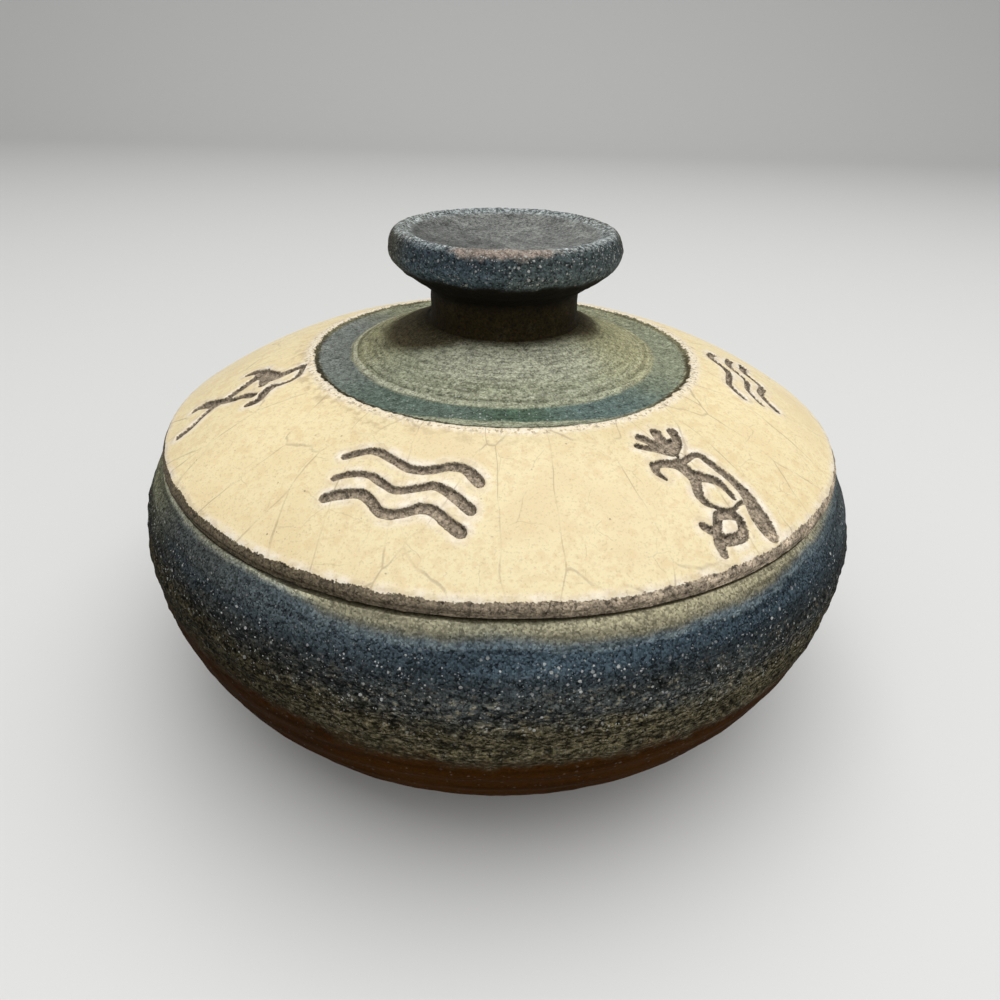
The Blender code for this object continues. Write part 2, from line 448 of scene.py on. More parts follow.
class Finish:
    """A material in the making, with the jar's own directions to paint by."""

    def __init__(self, name, roughness, sheen=CLAY_SHEEN):
        self.material = bpy.data.materials.new(name)
        self.material.use_nodes = True
        self.tree = self.material.node_tree
        self.shader = self.tree.nodes["Principled BSDF"]
        self.set("Roughness", roughness)
        self.set("Specular IOR Level", sheen)
        self.place = self.node("ShaderNodeTexCoord", output="Object")
        split = {"Vector": self.place}
        x, y, self.height = (self.node("ShaderNodeSeparateXYZ", {}, split, axis) for axis in "XYZ")
        self.radius = (x * x + y * y) ** 0.5
        self.side = x / self.radius.most(MM)
        self.front = y / self.radius.most(MM) * -1
        self.around = self.joined(self.side * BELLY_RADIUS, self.front * BELLY_RADIUS, self.height)

    def node(self, kind, settings=None, values=None, output=0):
        """Adds a node: its settings first, then the values or links of its sockets."""
        made = self.tree.nodes.new(kind)
        for name, value in (settings or {}).items():
            if name == "stops":
                self.set_stops(made.color_ramp, value)
            else:
                setattr(made, name, value)
        for name, value in (values or {}).items():
            self.plug(made.inputs[name], value)
        return Field(self, made.outputs[output])

    def plug(self, socket, value):
        if isinstance(value, Field):
            self.tree.links.new(value.socket, socket)
        else:
            socket.default_value = value

    def set_stops(self, ramp, stops):
        while len(ramp.elements) < len(stops):
            ramp.elements.new(1)
        for element, (position, tint) in zip(ramp.elements, stops):
            element.position = position
            element.color = (*tint, 1)

    def set(self, socket, value):
        """Sets or links one of the shader's own sockets."""
        self.plug(self.shader.inputs[socket], value)

    def kept(self, name):
        """A value that the piece's mesh carries."""
        return self.node("ShaderNodeAttribute", {"attribute_name": name}, output="Fac")

    def toward(self, degrees, spread):
        """1 on the side that lies degrees round from the front, fading to 0 at spread degrees from it."""
        angle = math.radians(degrees)
        facing = self.front * math.cos(angle) + self.side * math.sin(angle)
        return facing.step(math.cos(math.radians(spread)), 1.0)

    def joined(self, x, y, z=0.0):
        """A place from its three numbers."""
        return self.node("ShaderNodeCombineXYZ", {}, {"X": x, "Y": y, "Z": z})

    def stretched(self, across, along):
        """The place on the piece, with noise drawn out round the jar or along its height."""
        return self.node(
            "ShaderNodeVectorMath", {"operation": "MULTIPLY"}, {0: self.around, 1: (across, across, along)}
        )

    def stretched_rings(self, across):
        """The place on the lid, with noise drawn out into rings round its axis."""
        reach = across * BELLY_RADIUS
        return self.joined(self.side * reach, self.front * reach, self.radius)

    def noise(self, size, detail=2.0, place=None):
        """Soft noise about 0, mostly from -0.3 to 0.3, with features about size across."""
        values = {"Vector": place or self.place, "Scale": 1 / size, "Detail": detail}
        return self.node("ShaderNodeTexNoise", {}, values) - 0.5

    def cells(self, size, place=None):
        """The distance, in cells, from the middles of cells about size across."""
        values = {"Vector": place or self.place, "Scale": 1 / size}
        return self.node("ShaderNodeTexVoronoi", {}, values, "Distance")

    def borders(self, size, place):
        """The distance, in cells, from the borders of flat cells about size across."""
        settings = {"feature": "DISTANCE_TO_EDGE", "voronoi_dimensions": "2D"}
        return self.node("ShaderNodeTexVoronoi", settings, {"Vector": place, "Scale": 1 / size}, "Distance")

    def grains(self, size, share, small=0.12, large=0.34, place=None):
        """1 on round grains in a share of the cells, with radii from small to large parts of a cell."""
        cells = self.cells(size, place=place)
        chosen = self.node("ShaderNodeSeparateColor", {}, {0: cells.output("Color")})
        reach = small + (large - small) * chosen.output("Green")
        pale = 0.35 + 0.65 * chosen.output("Blue")
        return (reach - cells).step(0.0, 0.12) * chosen.step(share, share - 0.02) * pale

    def mix(self, mask, first, second):
        """The second colour over the first, where the mask is 1."""
        paints = [paint if isinstance(paint, Field) else (*paint, 1) for paint in (first, second)]
        settings = {"data_type": "RGBA", "clamp_factor": True}
        return self.node("ShaderNodeMix", settings, {0: mask, 6: paints[0], 7: paints[1]}, 2)

    def scale(self, paint, factor):
        """The colour, made darker or paler."""
        return self.node("ShaderNodeVectorMath", {"operation": "SCALE"}, {0: paint, "Scale": factor})

    def mix_value(self, mask, first, second):
        """The second value in place of the first, where the mask is 1."""
        return first + (second - first) * mask

    def ramp(self, value, *stops):
        return self.node("ShaderNodeValToRGB", {"stops": stops}, {"Fac": value})

    def bump(self, height, depth):
        values = {"Height": height, "Strength": 1.0, "Distance": depth}
        self.set("Normal", self.node("ShaderNodeBump", {}, values))


def soft_step(low, high, value):
    """0 at low and 1 at high, smooth between; low may be the greater."""
    part = np.clip((value - low) / (high - low), 0, 1)
    return part * part * (3 - 2 * part)


def chance(cells, seed):
    """A seeded number from -1 to 1 for each whole-numbered cell."""
    mixed = cells @ SCATTER + seed * SEED_SCATTER
    mixed = (mixed ^ (mixed >> 13)) * SEED_SCATTER
    return ((mixed ^ (mixed >> 16)) & 0xFFFF) / 0x7FFF - 1


def lumps(points, size, seed):
    """Seeded smooth noise from -1 to 1 at each point, with lumps about size across."""
    grid = points / size
    cells = np.floor(grid).astype(np.int64)
    part = grid - cells
    part = part * part * (3 - 2 * part)
    total = np.zeros(len(points))
    for corner in itertools.product((0, 1), repeat=3):
        weight = np.prod(np.where(corner, part, 1 - part), axis=1)
        total += weight * chance(cells + np.array(corner), seed)
    return total


def layered(points, seed, *layers):
    """Lumps of several layers of (size, height), each with a seed of its own."""
    return sum(height * lumps(points, size, seed + i) for i, (size, height) in enumerate(layers))


def ripples(along, gap, phase):
    """Finger rings from -1 to 1, gap apart along an outline."""
    return np.sin(2 * math.pi * along / gap + phase)


def bell(value, middle, reach):
    """1 at middle, falling away smoothly over reach on either side."""
    return np.exp(-(((value - middle) / reach) ** 2))


def on_wheel(turn, radius, height):
    """Points round the jar's axis, with turn in radians from the front."""
    return np.stack([radius * np.sin(turn), -radius * np.cos(turn), height], axis=1)


def straight(start, end):
    """A path of (radius, height) from start to end, for values from 0 to 1."""
    return lambda t: (start[0] + (end[0] - start[0]) * t, start[1] + (end[1] - start[1]) * t)


def bowed(start, end, bow):
    """A path whose middle stands above the straight line by bow."""
    level = straight(start, end)
    return lambda t: (level(t)[0], level(t)[1] + bow * 4 * t * (1 - t))


def drawn_in(start, end):
    """A path that leaves start upright and draws in towards end."""
    return lambda t: (start[0] + (end[0] - start[0]) * t * t, start[1] + (end[1] - start[1]) * t)


def drawn_out(start, end):
    """The path of drawn_in from its other end."""
    path = drawn_in(end, start)
    return lambda t: path(1 - t)


def swept_under(lip, neck):
    """A path from the lip in to the neck, upright at both ends."""
    return lambda t: (
        neck[0] + (lip[0] - neck[0]) * (1 - t * t) ** LIP_SWEEP,
        lip[1] + (neck[1] - lip[1]) * t,
    )


def dished(crest, top):
    """A path from the middle of the dish out to its crest."""
    return lambda t: (crest * t, top - DISH_DEPTH * (1 - t**DISH_POWER))


def oval(centre, radii, begin, finish):
    """An elliptical arc between two angles in degrees."""

    def path(t):
        angle = np.radians(begin + (finish - begin) * t)
        return centre[0] + radii[0] * np.cos(angle), centre[1] + radii[1] * np.sin(angle)

    return path


class Outline:
    """The outline of a thrown piece, from paths of (radius, height) that run down its outer side.

    Each path comes with the distance between its rows. Corners are rounded by softness.
    """

    def __init__(self, softness, *paths):
        points, gaps = [], []
        for path, gap in paths:
            rough = np.stack(path(np.linspace(0, 1, PATH_SAMPLES)), axis=1)
            size = np.hypot(*np.diff(rough, axis=0).T).sum()
            t = np.linspace(0, 1, max(2, math.ceil(size / FINE_STEP)))[:-1]
            points.append(np.stack(path(t), axis=1))
            gaps.append(np.full(len(t), gap))
        last = np.array([paths[-1][0](np.float64(1))])
        points = np.concatenate(points + [last])
        gaps = np.concatenate(gaps)
        reach = int(3 * softness / FINE_STEP)
        kernel = np.exp(-0.5 * (np.arange(-reach, reach + 1) * FINE_STEP / softness) ** 2)
        padded = np.pad(points, ((reach, reach), (0, 0)), mode="edge")
        smooth = np.stack([np.convolve(axis, kernel / kernel.sum(), "valid") for axis in padded.T], axis=1)
        smooth[0], smooth[-1] = points[0], points[-1]
        steps = np.hypot(*np.diff(smooth, axis=0).T)
        along = np.concatenate([[0], np.cumsum(steps)])
        count = np.concatenate([[0], np.cumsum(steps / gaps)])
        self.rows = math.ceil(count[-1])
        slope = np.gradient(smooth, axis=0)
        slope /= np.hypot(*slope.T)[:, None] + TINY
        columns = (smooth[:, 0], smooth[:, 1], along, -slope[:, 1], slope[:, 0])
        at = np.linspace(0, count[-1], self.rows + 1)
        self.table = [np.interp(at, count, column) for column in columns]
        self.length = along[-1]
        self.edge = self.table[2][np.argmax(self.table[0])]

    def at(self, row):
        """Radius, height, distance along the outline, and how far the surface faces out and up."""
        return [np.interp(row, np.arange(self.rows + 1), column) for column in self.table]


class Slab:
    """Clay rolled out flat, with a column for each step round the wheel and a row for each of an outline."""

    def __init__(self, name, outline, columns):
        self.name = name
        self.outline = outline
        self.form = bmesh.new()
        bmesh.ops.create_grid(self.form, x_segments=columns, y_segments=outline.rows, size=1)

    def spread(self, flat):
        """How far round from the front the points lie, in radians, and what the outline gives there."""
        return flat[:, 0] * math.pi, self.outline.at((flat[:, 1] + 1) / 2 * self.outline.rows)

    def cut_finer(self, wanted):
        """Cuts the faces finer where wanted, given turn and radius, is true."""
        faces = list(self.form.faces)
        middles = np.array([face.calc_center_median() for face in faces])
        turn, (radius, height, along, out, up) = self.spread(middles)
        chosen = wanted(turn, radius) & (along < self.outline.edge)
        edges = {edge for face, take in zip(faces, chosen) if take for edge in face.edges}
        bmesh.ops.subdivide_edges(self.form, edges=list(edges), cuts=CARVE_CUTS, use_grid_fill=True)

    def throw(self, relief, finish, body, node):
        """Rolls the slab onto its outline and makes the piece of it.

        relief gives how far each point is pushed out, and the values that its mesh carries.
        """
        mesh = bpy.data.meshes.new(self.name)
        self.form.to_mesh(mesh)
        self.form.free()
        flat = np.empty(len(mesh.vertices) * 3, np.float32)
        mesh.vertices.foreach_get("co", flat)
        turn, (radius, height, along, out, up) = self.spread(flat.reshape(-1, 3).astype(float))
        push, carried = relief(turn, radius, along, out, on_wheel(turn, radius, height))
        radius = np.maximum(radius + push * out, 0)
        radius[along <= 0] = self.outline.table[0][0]
        radius[along >= self.outline.length] = self.outline.table[0][-1]
        thrown = on_wheel(turn, radius, height + push * up)
        mesh.vertices.foreach_set("co", thrown.astype(np.float32).ravel())
        for name, values in carried.items():
            mesh.attributes.new(name, "FLOAT", "POINT").data.foreach_set("value", values.astype(np.float32))
        corners = np.empty(len(mesh.loops), np.int32)
        mesh.loops.foreach_get("vertex_index", corners)
        chart = np.stack([turn / (2 * math.pi) + 0.5, 1 - along / self.outline.length], axis=1)[corners]
        mesh.uv_layers.new(name=UV_NAME).uv.foreach_set("vector", chart.astype(np.float32).ravel())
        self.weld(mesh)
        mesh.materials.append(finish.material)
        mesh.shade_smooth()
        piece = bpy.data.objects.new(self.name, mesh)
        bpy.context.scene.collection.objects.link(piece)
        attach(piece, body)
        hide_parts(node)
        return piece

    def weld(self, mesh):
        """Joins the slab's two ends and closes it on the axis."""
        form = bmesh.new()
        form.from_mesh(mesh)
        bmesh.ops.remove_doubles(form, verts=form.verts, dist=WELD)
        bmesh.ops.recalc_face_normals(form, faces=form.faces)
        form.to_mesh(mesh)
        form.free()


def smooth_stroke(points):
    """Points along a smooth line through the given ones."""
    points = np.array(points, float)
    if len(points) == 2:
        return points
    padded = np.concatenate([[2 * points[0] - points[1]], points, [2 * points[-1] - points[-2]]])
    line = [points[0]]
    for before, start, end, after in zip(padded, padded[1:], padded[2:], padded[3:]):
        for t in np.linspace(0, 1, STROKE_STEPS + 1)[1:]:
            bend = (2 * before - 5 * start + 4 * end - after) * t * t
            twist = (3 * start - before - 3 * end + after) * t * t * t
            line.append(0.5 * (2 * start + (end - before) * t + bend + twist))
    return np.array(line)


def stroke_distance(places, start_width, end_width, points):
    """Distance from each place to the edge of a stroke, less than 0 inside it."""
    line = smooth_stroke(points)
    widths = np.linspace(start_width, end_width, len(line)) / 2
    nearest = np.full(len(places), np.inf)
    for start, end, wide, narrow in zip(line, line[1:], widths, widths[1:]):
        step = end - start
        t = np.clip(((places - start) @ step) / (step @ step), 0, 1)
        off = np.hypot(*(places - start - t[:, None] * step).T)
        nearest = np.minimum(nearest, off - (wide + (narrow - wide) * t))
    return nearest


def carving(turn, radius):
    """Distance from each point of the lid to the edge of the nearest sign, less than 0 inside its strokes."""
    nearest = np.full(len(turn), LID_RADIUS)
    for strokes, degrees, middle, tilt, scale in SIGNS:
        across = (turn - math.radians(degrees) + math.pi) % (2 * math.pi) - math.pi
        local = np.stack([across, np.log(np.maximum(radius, MM) / middle)], axis=1) * middle / (MM * scale)
        close = np.hypot(*local.T) < SIGN_REACH
        lean = math.radians(tilt)
        turned = np.array([[math.cos(lean), math.sin(lean)], [-math.sin(lean), math.cos(lean)]])
        places = local[close] @ turned
        found = np.min([stroke_distance(places, *stroke) for stroke in strokes], axis=0)
        nearest[close] = np.minimum(nearest[close], found * MM * scale * radius[close] / middle)
    return nearest


def sandy(finish, base, size, contrast, lumpiness=1.5):
    """A colour broken up into fine grains of sand in soft lumps, and the relief of the grains."""
    cells = finish.cells(size)
    grain = finish.node("ShaderNodeSeparateColor", {}, {0: cells.output("Color")})
    lumpy = finish.noise(size * 3.2, 3) * lumpiness
    tone = grain - 0.35 - cells * 0.3 + lumpy
    return finish.scale(base, (1 + contrast * tone).most(0.12)), lumpy + grain * 0.5 - cells * 0.5


def wandering(finish, place, size, reach):
    """A place that wanders by up to about reach, so that lines drawn by it bend."""
    drift = finish.node("ShaderNodeTexNoise", {}, {"Vector": place, "Scale": 1 / size}, "Color")
    return finish.node(
        "ShaderNodeVectorMath", {"operation": "MULTIPLY_ADD"}, {0: drift, 1: (reach, reach, reach), 2: place}
    )


def torn_clay(finish, base, light, amount):
    """Clay torn by grog that was dragged round: pale shreds over dark tears, and their relief."""
    place = wandering(finish, finish.stretched(0.45, 1.0), 1.2 * MM, 0.8 * MM)
    ridges = finish.noise(0.75 * MM, 6, place)
    clods = 1.1 + finish.noise(2.6 * MM, 3, place) * 1.6
    paint = finish.mix(ridges.step(0.05, 0.16) * amount, finish.scale(base, clods), light)
    return finish.scale(paint, 1 - ridges.step(0.0, -0.09) * 0.85), ridges


def fired_zones(finish, colours, level, worn):
    """The bowl's colours from its foot to its gold band, smoked in places, with painted light on the front of
    the belly and painted shade towards its sides.
    """
    stops = [(share, getattr(colours, name)) for share, name in BOWL_COLOURS]
    zones = finish.ramp(worn / RIM_HEIGHT, *stops)
    dull = level.step(*DULLED) * (1 - finish.toward(22, 55))
    smoked = finish.mix(finish.toward(-10, 32), colours.charcoal, colours.steel)
    zones = finish.mix(dull * 0.9, zones, finish.mix(0.24, smoked, colours.slate))
    zones = finish.mix(finish.toward(-92, 44) * level.step(*TANNED) * 0.75, zones, colours.tan)
    # Painted light: the front of the belly made paler
    zones = finish.scale(zones, 1 + 0.7 * finish.toward(18, 46) * level.near(*BELLY_PAINTED_LIGHT))
    # Painted shade: the bowl darkened towards its left and lower right, and in a few patches round the belly
    shaded = finish.toward(-62, 52) * (0.55 + 0.45 * level.step(*LEFT_PAINTED_SHADE))
    shaded = shaded.most(finish.toward(68, 46) * level.step(*RIGHT_PAINTED_SHADE) * 0.8)
    for degrees, spread, height, reach, strength in BOWL_PAINTED_SHADE:
        shaded = shaded.most(finish.toward(degrees, spread) * level.near(height, reach) * strength)
    return finish.scale(zones, 1 - 0.42 * shaded)


def gold_band(finish, colours, zones, above):
    """Gold on the shoulder, over a line of mist, with painted light along its top; above is the height,
    raised where the band is wide.
    """
    broken = 0.5 + 0.5 * finish.noise(3 * MM, 3).step(-0.1, 0.1)
    misty = 0.1 - 0.1 * finish.toward(-45, 36)
    misty += (0.45 * finish.toward(28, 36)).most(0.4 * finish.toward(-13, 14))
    zones = finish.mix(above.near(*MIST_LINE) * misty * broken, zones, colours.mist)
    paler = finish.toward(30, 36).most(0.6 * finish.toward(-14, 14))
    gold = finish.mix(paler, colours.gold, colours.pale_gold)
    zones = finish.mix(above.step(*GILDED), zones, gold)
    # Painted light: the top of the gold band made paler under the lid's edge, and a pale line just below the
    # rim on the left
    painted_rim_light = (0.8 - 0.8 * finish.toward(-62, 50)) * finish.height.step(*RIM_PAINTED_LIGHT)
    line = 1.8 * finish.toward(-48, 36) * finish.height.step(*RIM_PAINTED_LINE)
    return finish.scale(zones, 1 + painted_rim_light + line)


def clay_finish(colours):
    """The bowl: gold and steel blue on the shoulder, torn grey clay on the belly, rust towards the foot."""
    finish = Finish("smoked_raku_clay", 0.8, DRY_SHEEN)
    ragged = finish.noise(24 * MM) * 3 * MM + finish.noise(3 * MM, 3) * 1.6 * MM
    climbing = finish.toward(-66, 58) * finish.height.step(*CLIMBING) * 8 * MM
    level = finish.height + ragged - climbing
    worn = level + finish.noise(5 * MM, 4) * level.step(*WORN) * 10 * MM
    widened = finish.toward(24, 26) * 1.8 * MM + finish.toward(-13, 13) * 1.3 * MM
    narrowed = (1.4 * finish.toward(-42, 30)).most(1.3 * finish.toward(95, 55)) * MM
    above = level + widened - narrowed
    zones = gold_band(finish, colours, fired_zones(finish, colours, level, worn), above)
    streaks = finish.noise(4 * MM, 4, finish.stretched(0.15, 2.5))
    zones = finish.scale(zones, 1.1 - streaks.step(-0.06, 0.16) * 0.4)

    torn_band = worn.step(*TORN_FROM) * level.step(*TORN_TO)
    torn, shreds = torn_clay(finish, zones, colours.sand, 0.2 + 0.8 * finish.toward(16, 48))
    rough = finish.mix(torn_band * 0.9, zones, torn)
    gritty = level.step(*GRITTY_FROM) * (1 - 0.45 * above.step(*SMOOTH_FROM))
    lumpiness = 1.4 - 0.9 * level.step(*BLUE_FROM)
    sanded, sand = sandy(finish, rough, 0.42 * MM, 0.4 + 1.1 * gritty, lumpiness)
    strewn = level.step(*GROG_FROM) * level.step(*GROG_TO)
    strewn *= 0.4 + 0.6 * finish.noise(9 * MM, 3).step(-0.12, 0.08)
    crumbs = wandering(finish, finish.place, 0.5 * MM, 0.45 * MM)
    coarse = finish.grains(1.2 * MM, 0.5, 0.06, 0.4, crumbs) * (0.1 + 0.9 * strewn)
    fine = finish.grains(0.65 * MM, 0.34, 0.1, 0.4, crumbs) * (strewn * 0.85 + torn_band * 0.3)
    grog = coarse.most(fine)
    paint = finish.mix(grog * 0.95, sanded, colours.grog)
    # Painted shade, in soot colour, on the top of the rim where the lid sits
    paint = finish.mix(finish.height.step(*SEAT_PAINTED_SHADE) * 0.85, paint, colours.soot)

    lining = finish.mix(finish.noise(12 * MM, 4).step(-0.2, 0.25), colours.soot, colours.charcoal)
    finish.set("Base Color", finish.mix(finish.kept("inside"), paint, lining))
    finish.bump(sand * (0.3 + 0.7 * gritty) + grog * 0.9 + shreds * torn_band * 7 + streaks, GRIT_DEPTH)
    return finish


def crackle(finish):
    """How dark the cracks of the glaze are: long ones that run outwards, and a faint net between them."""
    turn = finish.side.math("ARCTAN2", finish.side, finish.front) * CRACK_RADIUS
    outwards = finish.joined(turn, finish.radius * 0.4)
    level = finish.joined(turn, finish.radius)
    bent = wandering(finish, wandering(finish, outwards, 9 * MM, 5 * MM), 2.5 * MM, 0.6 * MM)
    long_cracks = finish.borders(14 * MM, bent).step(0.017, 0.003)
    net = wandering(finish, wandering(finish, level, 5 * MM, 2.5 * MM), 1.2 * MM, 0.5 * MM)
    short_cracks = finish.borders(8 * MM, net).step(0.02, 0.003)
    strong = finish.noise(9 * MM, 3).step(-0.1, 0.12)
    faint = finish.noise(7 * MM).step(-0.02, 0.15) * 0.28
    return (long_cracks * (0.1 + 0.42 * strong)).most(short_cracks * faint)


def ivory_glaze(finish, colours, ends, by_crown):
    """The ivory glaze, toasted in clouds and pricked with smoke, paler where it ends, with painted shade
    towards the front, and its relief.
    """
    clouds = finish.noise(15 * MM, 5).step(-0.06, 0.2) * 0.5
    mottle = finish.noise(3.2 * MM, 4).step(-0.02, 0.16).most(finish.noise(1.3 * MM, 4).step(0.0, 0.16)) * 0.6
    paint = finish.mix(clouds.most(mottle), colours.ivory, colours.toasted)
    # Painted shade: the glaze darkened towards the front
    paint = finish.scale(paint, 1 - 0.11 * finish.toward(8, 65))
    patchy = 0.3 + 0.7 * finish.noise(5 * MM, 3).step(-0.1, 0.1)
    rolled = ends.step(2.4 * MM, 0.3 * MM) * patchy
    frothy = by_crown.step(3.4 * MM, 0.8 * MM) * (0.8 + finish.noise(0.8 * MM, 3) * 3)
    paint = finish.mix(rolled.most(frothy), paint, colours.ivory_roll)
    scorched = by_crown.near(3.6 * MM, 3.0 * MM) * (0.15 + 0.85 * finish.toward(-45, 70))
    dotted = by_crown.near(1.1 * MM, 1.2 * MM) * finish.noise(0.9 * MM, 3).step(0.03, 0.12)
    scorched = scorched.most(ends.near(0.7 * MM, 0.8 * MM) * 0.6)
    scorched *= finish.noise(2.2 * MM, 4).step(-0.08, 0.14)
    paint = finish.mix(scorched * 0.7, paint, finish.mix(0.5, colours.toasted, colours.crackle))
    speckled = finish.noise(0.5 * MM, 3).step(0.04, 0.2) * 0.28
    paint = finish.mix(speckled.most(dotted * 0.8), paint, colours.crackle)
    cracks = crackle(finish)
    pinholes = finish.grains(2.0 * MM, 0.45, 0.03, 0.16)
    dust = finish.grains(0.8 * MM, 0.4, 0.06, 0.32) * finish.noise(9 * MM, 3).step(-0.2, 0.3)
    paint = finish.mix(cracks.most(pinholes * 0.75).most(dust * 0.3), paint, colours.crackle)
    return paint, finish.noise(3 * MM) * 0.4 + finish.noise(0.5 * MM) * 0.3 - cracks * 0.4 - pinholes


def crown_slip(finish, colours, border):
    """The dry slip of the crown, border inside its edge, and its relief.

    Sage with crystals and painted light in front, painted light on the right, painted highlight and shade on
    the turned ledges, a teal and slate band, and brown painted shade round the neck.
    """
    inner_ledge, groove, outer_ledge = (radius for radius, rise in CROWN_LEDGES)
    ring = finish.radius + finish.noise(5 * MM, 3) * 1.0 * MM
    brushed = finish.noise(0.7 * MM, 3, finish.stretched_rings(0.04))
    dashes = finish.noise(0.8 * MM, 3, finish.stretched_rings(0.14))
    paint = finish.mix(finish.toward(100, 70).most(finish.toward(-105, 60)), colours.sage, colours.tan)
    # Pale flecks and painted light on the front of the crown, in the ridge colour
    paint = finish.mix(finish.toward(5, 60) * ring.near(*CROWN_LIGHT) * 0.7, paint, colours.ridge)
    # Painted light on the right of the crown, and painted shade in the grooves of the brushed rings
    paint = finish.scale(paint, 1.05 + 0.3 * finish.toward(80, 55) - brushed.step(-0.04, 0.14) * 0.4)
    paint = finish.mix(dashes.step(0.02, 0.2) * (0.15 + 0.5 * finish.toward(5, 50)), paint, colours.ridge)

    band = finish.mix(finish.toward(8, 20) * 0.8, colours.teal, colours.emerald)
    band = finish.mix(finish.toward(34, 26) * 0.8, band, colours.lagoon)
    band = finish.mix(finish.toward(-95, 58), band, colours.slate)
    band = finish.mix(finish.toward(100, 60) * 0.7, band, colours.sage)
    band = finish.scale(band, 1 + finish.noise(1.6 * MM, 4) * 1.4)
    outer = BELT_OUTER - finish.toward(2, 32) * 3.2 * MM
    belt = ring.step(*BELT_FROM) * (outer - ring).step(-0.9 * MM, 0.7 * MM)
    belt *= finish.front.step(-1.0, -0.3)
    paint = finish.mix(belt * 0.92, paint, band)
    # The raised ledges painted pale in the ridge colour, partly as painted highlight, and painted shade in
    # the groove between them
    ledge = ring.near(outer_ledge, 0.8 * MM) * (0.12 + 0.5 * finish.toward(-75, 75))
    paint = finish.mix(ledge.most(ring.near(inner_ledge, 0.6 * MM) * 0.2), paint, colours.ridge)
    paint = finish.scale(paint, 1 - ring.near(groove, 0.7 * MM) * 0.25)

    # Painted shade round the neck on the crown, the knob's shadow: further out on the left, less far in front
    # and on the right, darkest at the neck's foot
    further = finish.toward(-80, 60) * 3.5 - finish.toward(4, 75) * 6.5 - finish.toward(85, 55) * 3.0
    neck_shade = (NECK_SHADE_REACH + further * MM - ring).step(-2.5 * MM, 3 * MM)
    smoke = finish.mix(ring.step(*NECK_SHADE_CORE) * 0.6, colours.umber, colours.soot)
    paint = finish.mix(neck_shade * 0.95, paint, smoke)
    darker = finish.toward(-40, 65).most(finish.toward(68, 30))
    fringe = border.step(1.9 * MM, 0.9 * MM) * (0.5 + 0.45 * darker)
    paint = finish.mix(fringe, paint, finish.mix(finish.toward(68, 40), colours.soot, colours.umber))
    paint, sand = sandy(finish, paint, 0.4 * MM, 0.85)
    crystals = finish.grains(0.8 * MM, 0.5, 0.06, 0.4) * (1 - 0.8 * neck_shade)
    crystals *= 0.3 + 0.35 * finish.toward(3, 60)
    return finish.mix(crystals, paint, colours.grog), sand + crystals * 0.6 - brushed * 2 + dashes


def lid_finish(colours):
    """The lid: crackled ivory glaze, smoked bare clay in the carving and a dry slip on the crown, with
    painted light and shade on the bare edge and painted shade in the seam, the scored line and the carving's
    edges.
    """
    finish = Finish("crackled_lid_glaze", 0.8)
    grit = finish.noise(0.6 * MM, 3) * 0.6 * MM
    carve = finish.kept("carve") + grit
    edge = finish.kept("glaze") + grit * 2.2
    crown = finish.kept("crown") + finish.noise(0.8 * MM, 3) * 2.0 * MM
    on_crown = crown.step(-0.3 * MM, 0.3 * MM)
    ends = carve.least(edge)
    glazed = ends.step(-0.1 * MM, 0.1 * MM) * crown.step(0.2 * MM, -0.2 * MM)
    ivory, gloss = ivory_glaze(finish, colours, ends, crown * -1)
    top, crust = crown_slip(finish, colours, crown)

    smoke = finish.noise(2.5 * MM, 4).step(-0.05, 0.3) * 0.5
    rise = finish.height - SEAT_HEIGHT
    on_edge = rise.step(*EDGE_FROM)
    # Painted shade: the bare edge darkened away from the right
    smoke = smoke.most(on_edge * (0.75 - 0.75 * finish.toward(55, 85)))
    clay = finish.mix(smoke, colours.bare_clay, colours.umber)
    # Painted light: the bare edge paler in patches towards the right
    light_patches = finish.noise(5 * MM, 4).step(-0.06, 0.1)
    paler = on_edge * light_patches * finish.toward(62, 65)
    # Painted shade: the clay darkened just inside the edges of the carving
    clay = finish.scale(clay, 1 + paler - 0.35 * carve.near(-0.1 * MM, 0.4 * MM))
    # Painted shade, in soot colour, along the seam with the bowl and in the scored line, stronger on the left
    scored = rise.near(*SCORED_LINE) * (0.25 + 0.45 * finish.toward(-50, 50))
    seam = rise.step(*SEAM_FROM).most(scored)
    clay = finish.mix(seam * 0.9, clay, colours.soot)
    clay, sand = sandy(finish, clay, 0.42 * MM, 1.1)

    bare = finish.mix(on_crown * (1 - finish.kept("under")), clay, top)
    finish.set("Base Color", finish.mix(glazed, bare, ivory))
    finish.set("Coat Weight", glazed * 0.45)
    finish.set("Coat Roughness", 0.25)
    finish.bump(finish.mix_value(glazed, finish.mix_value(on_crown, sand, crust), gloss), GRIT_DEPTH)
    return finish


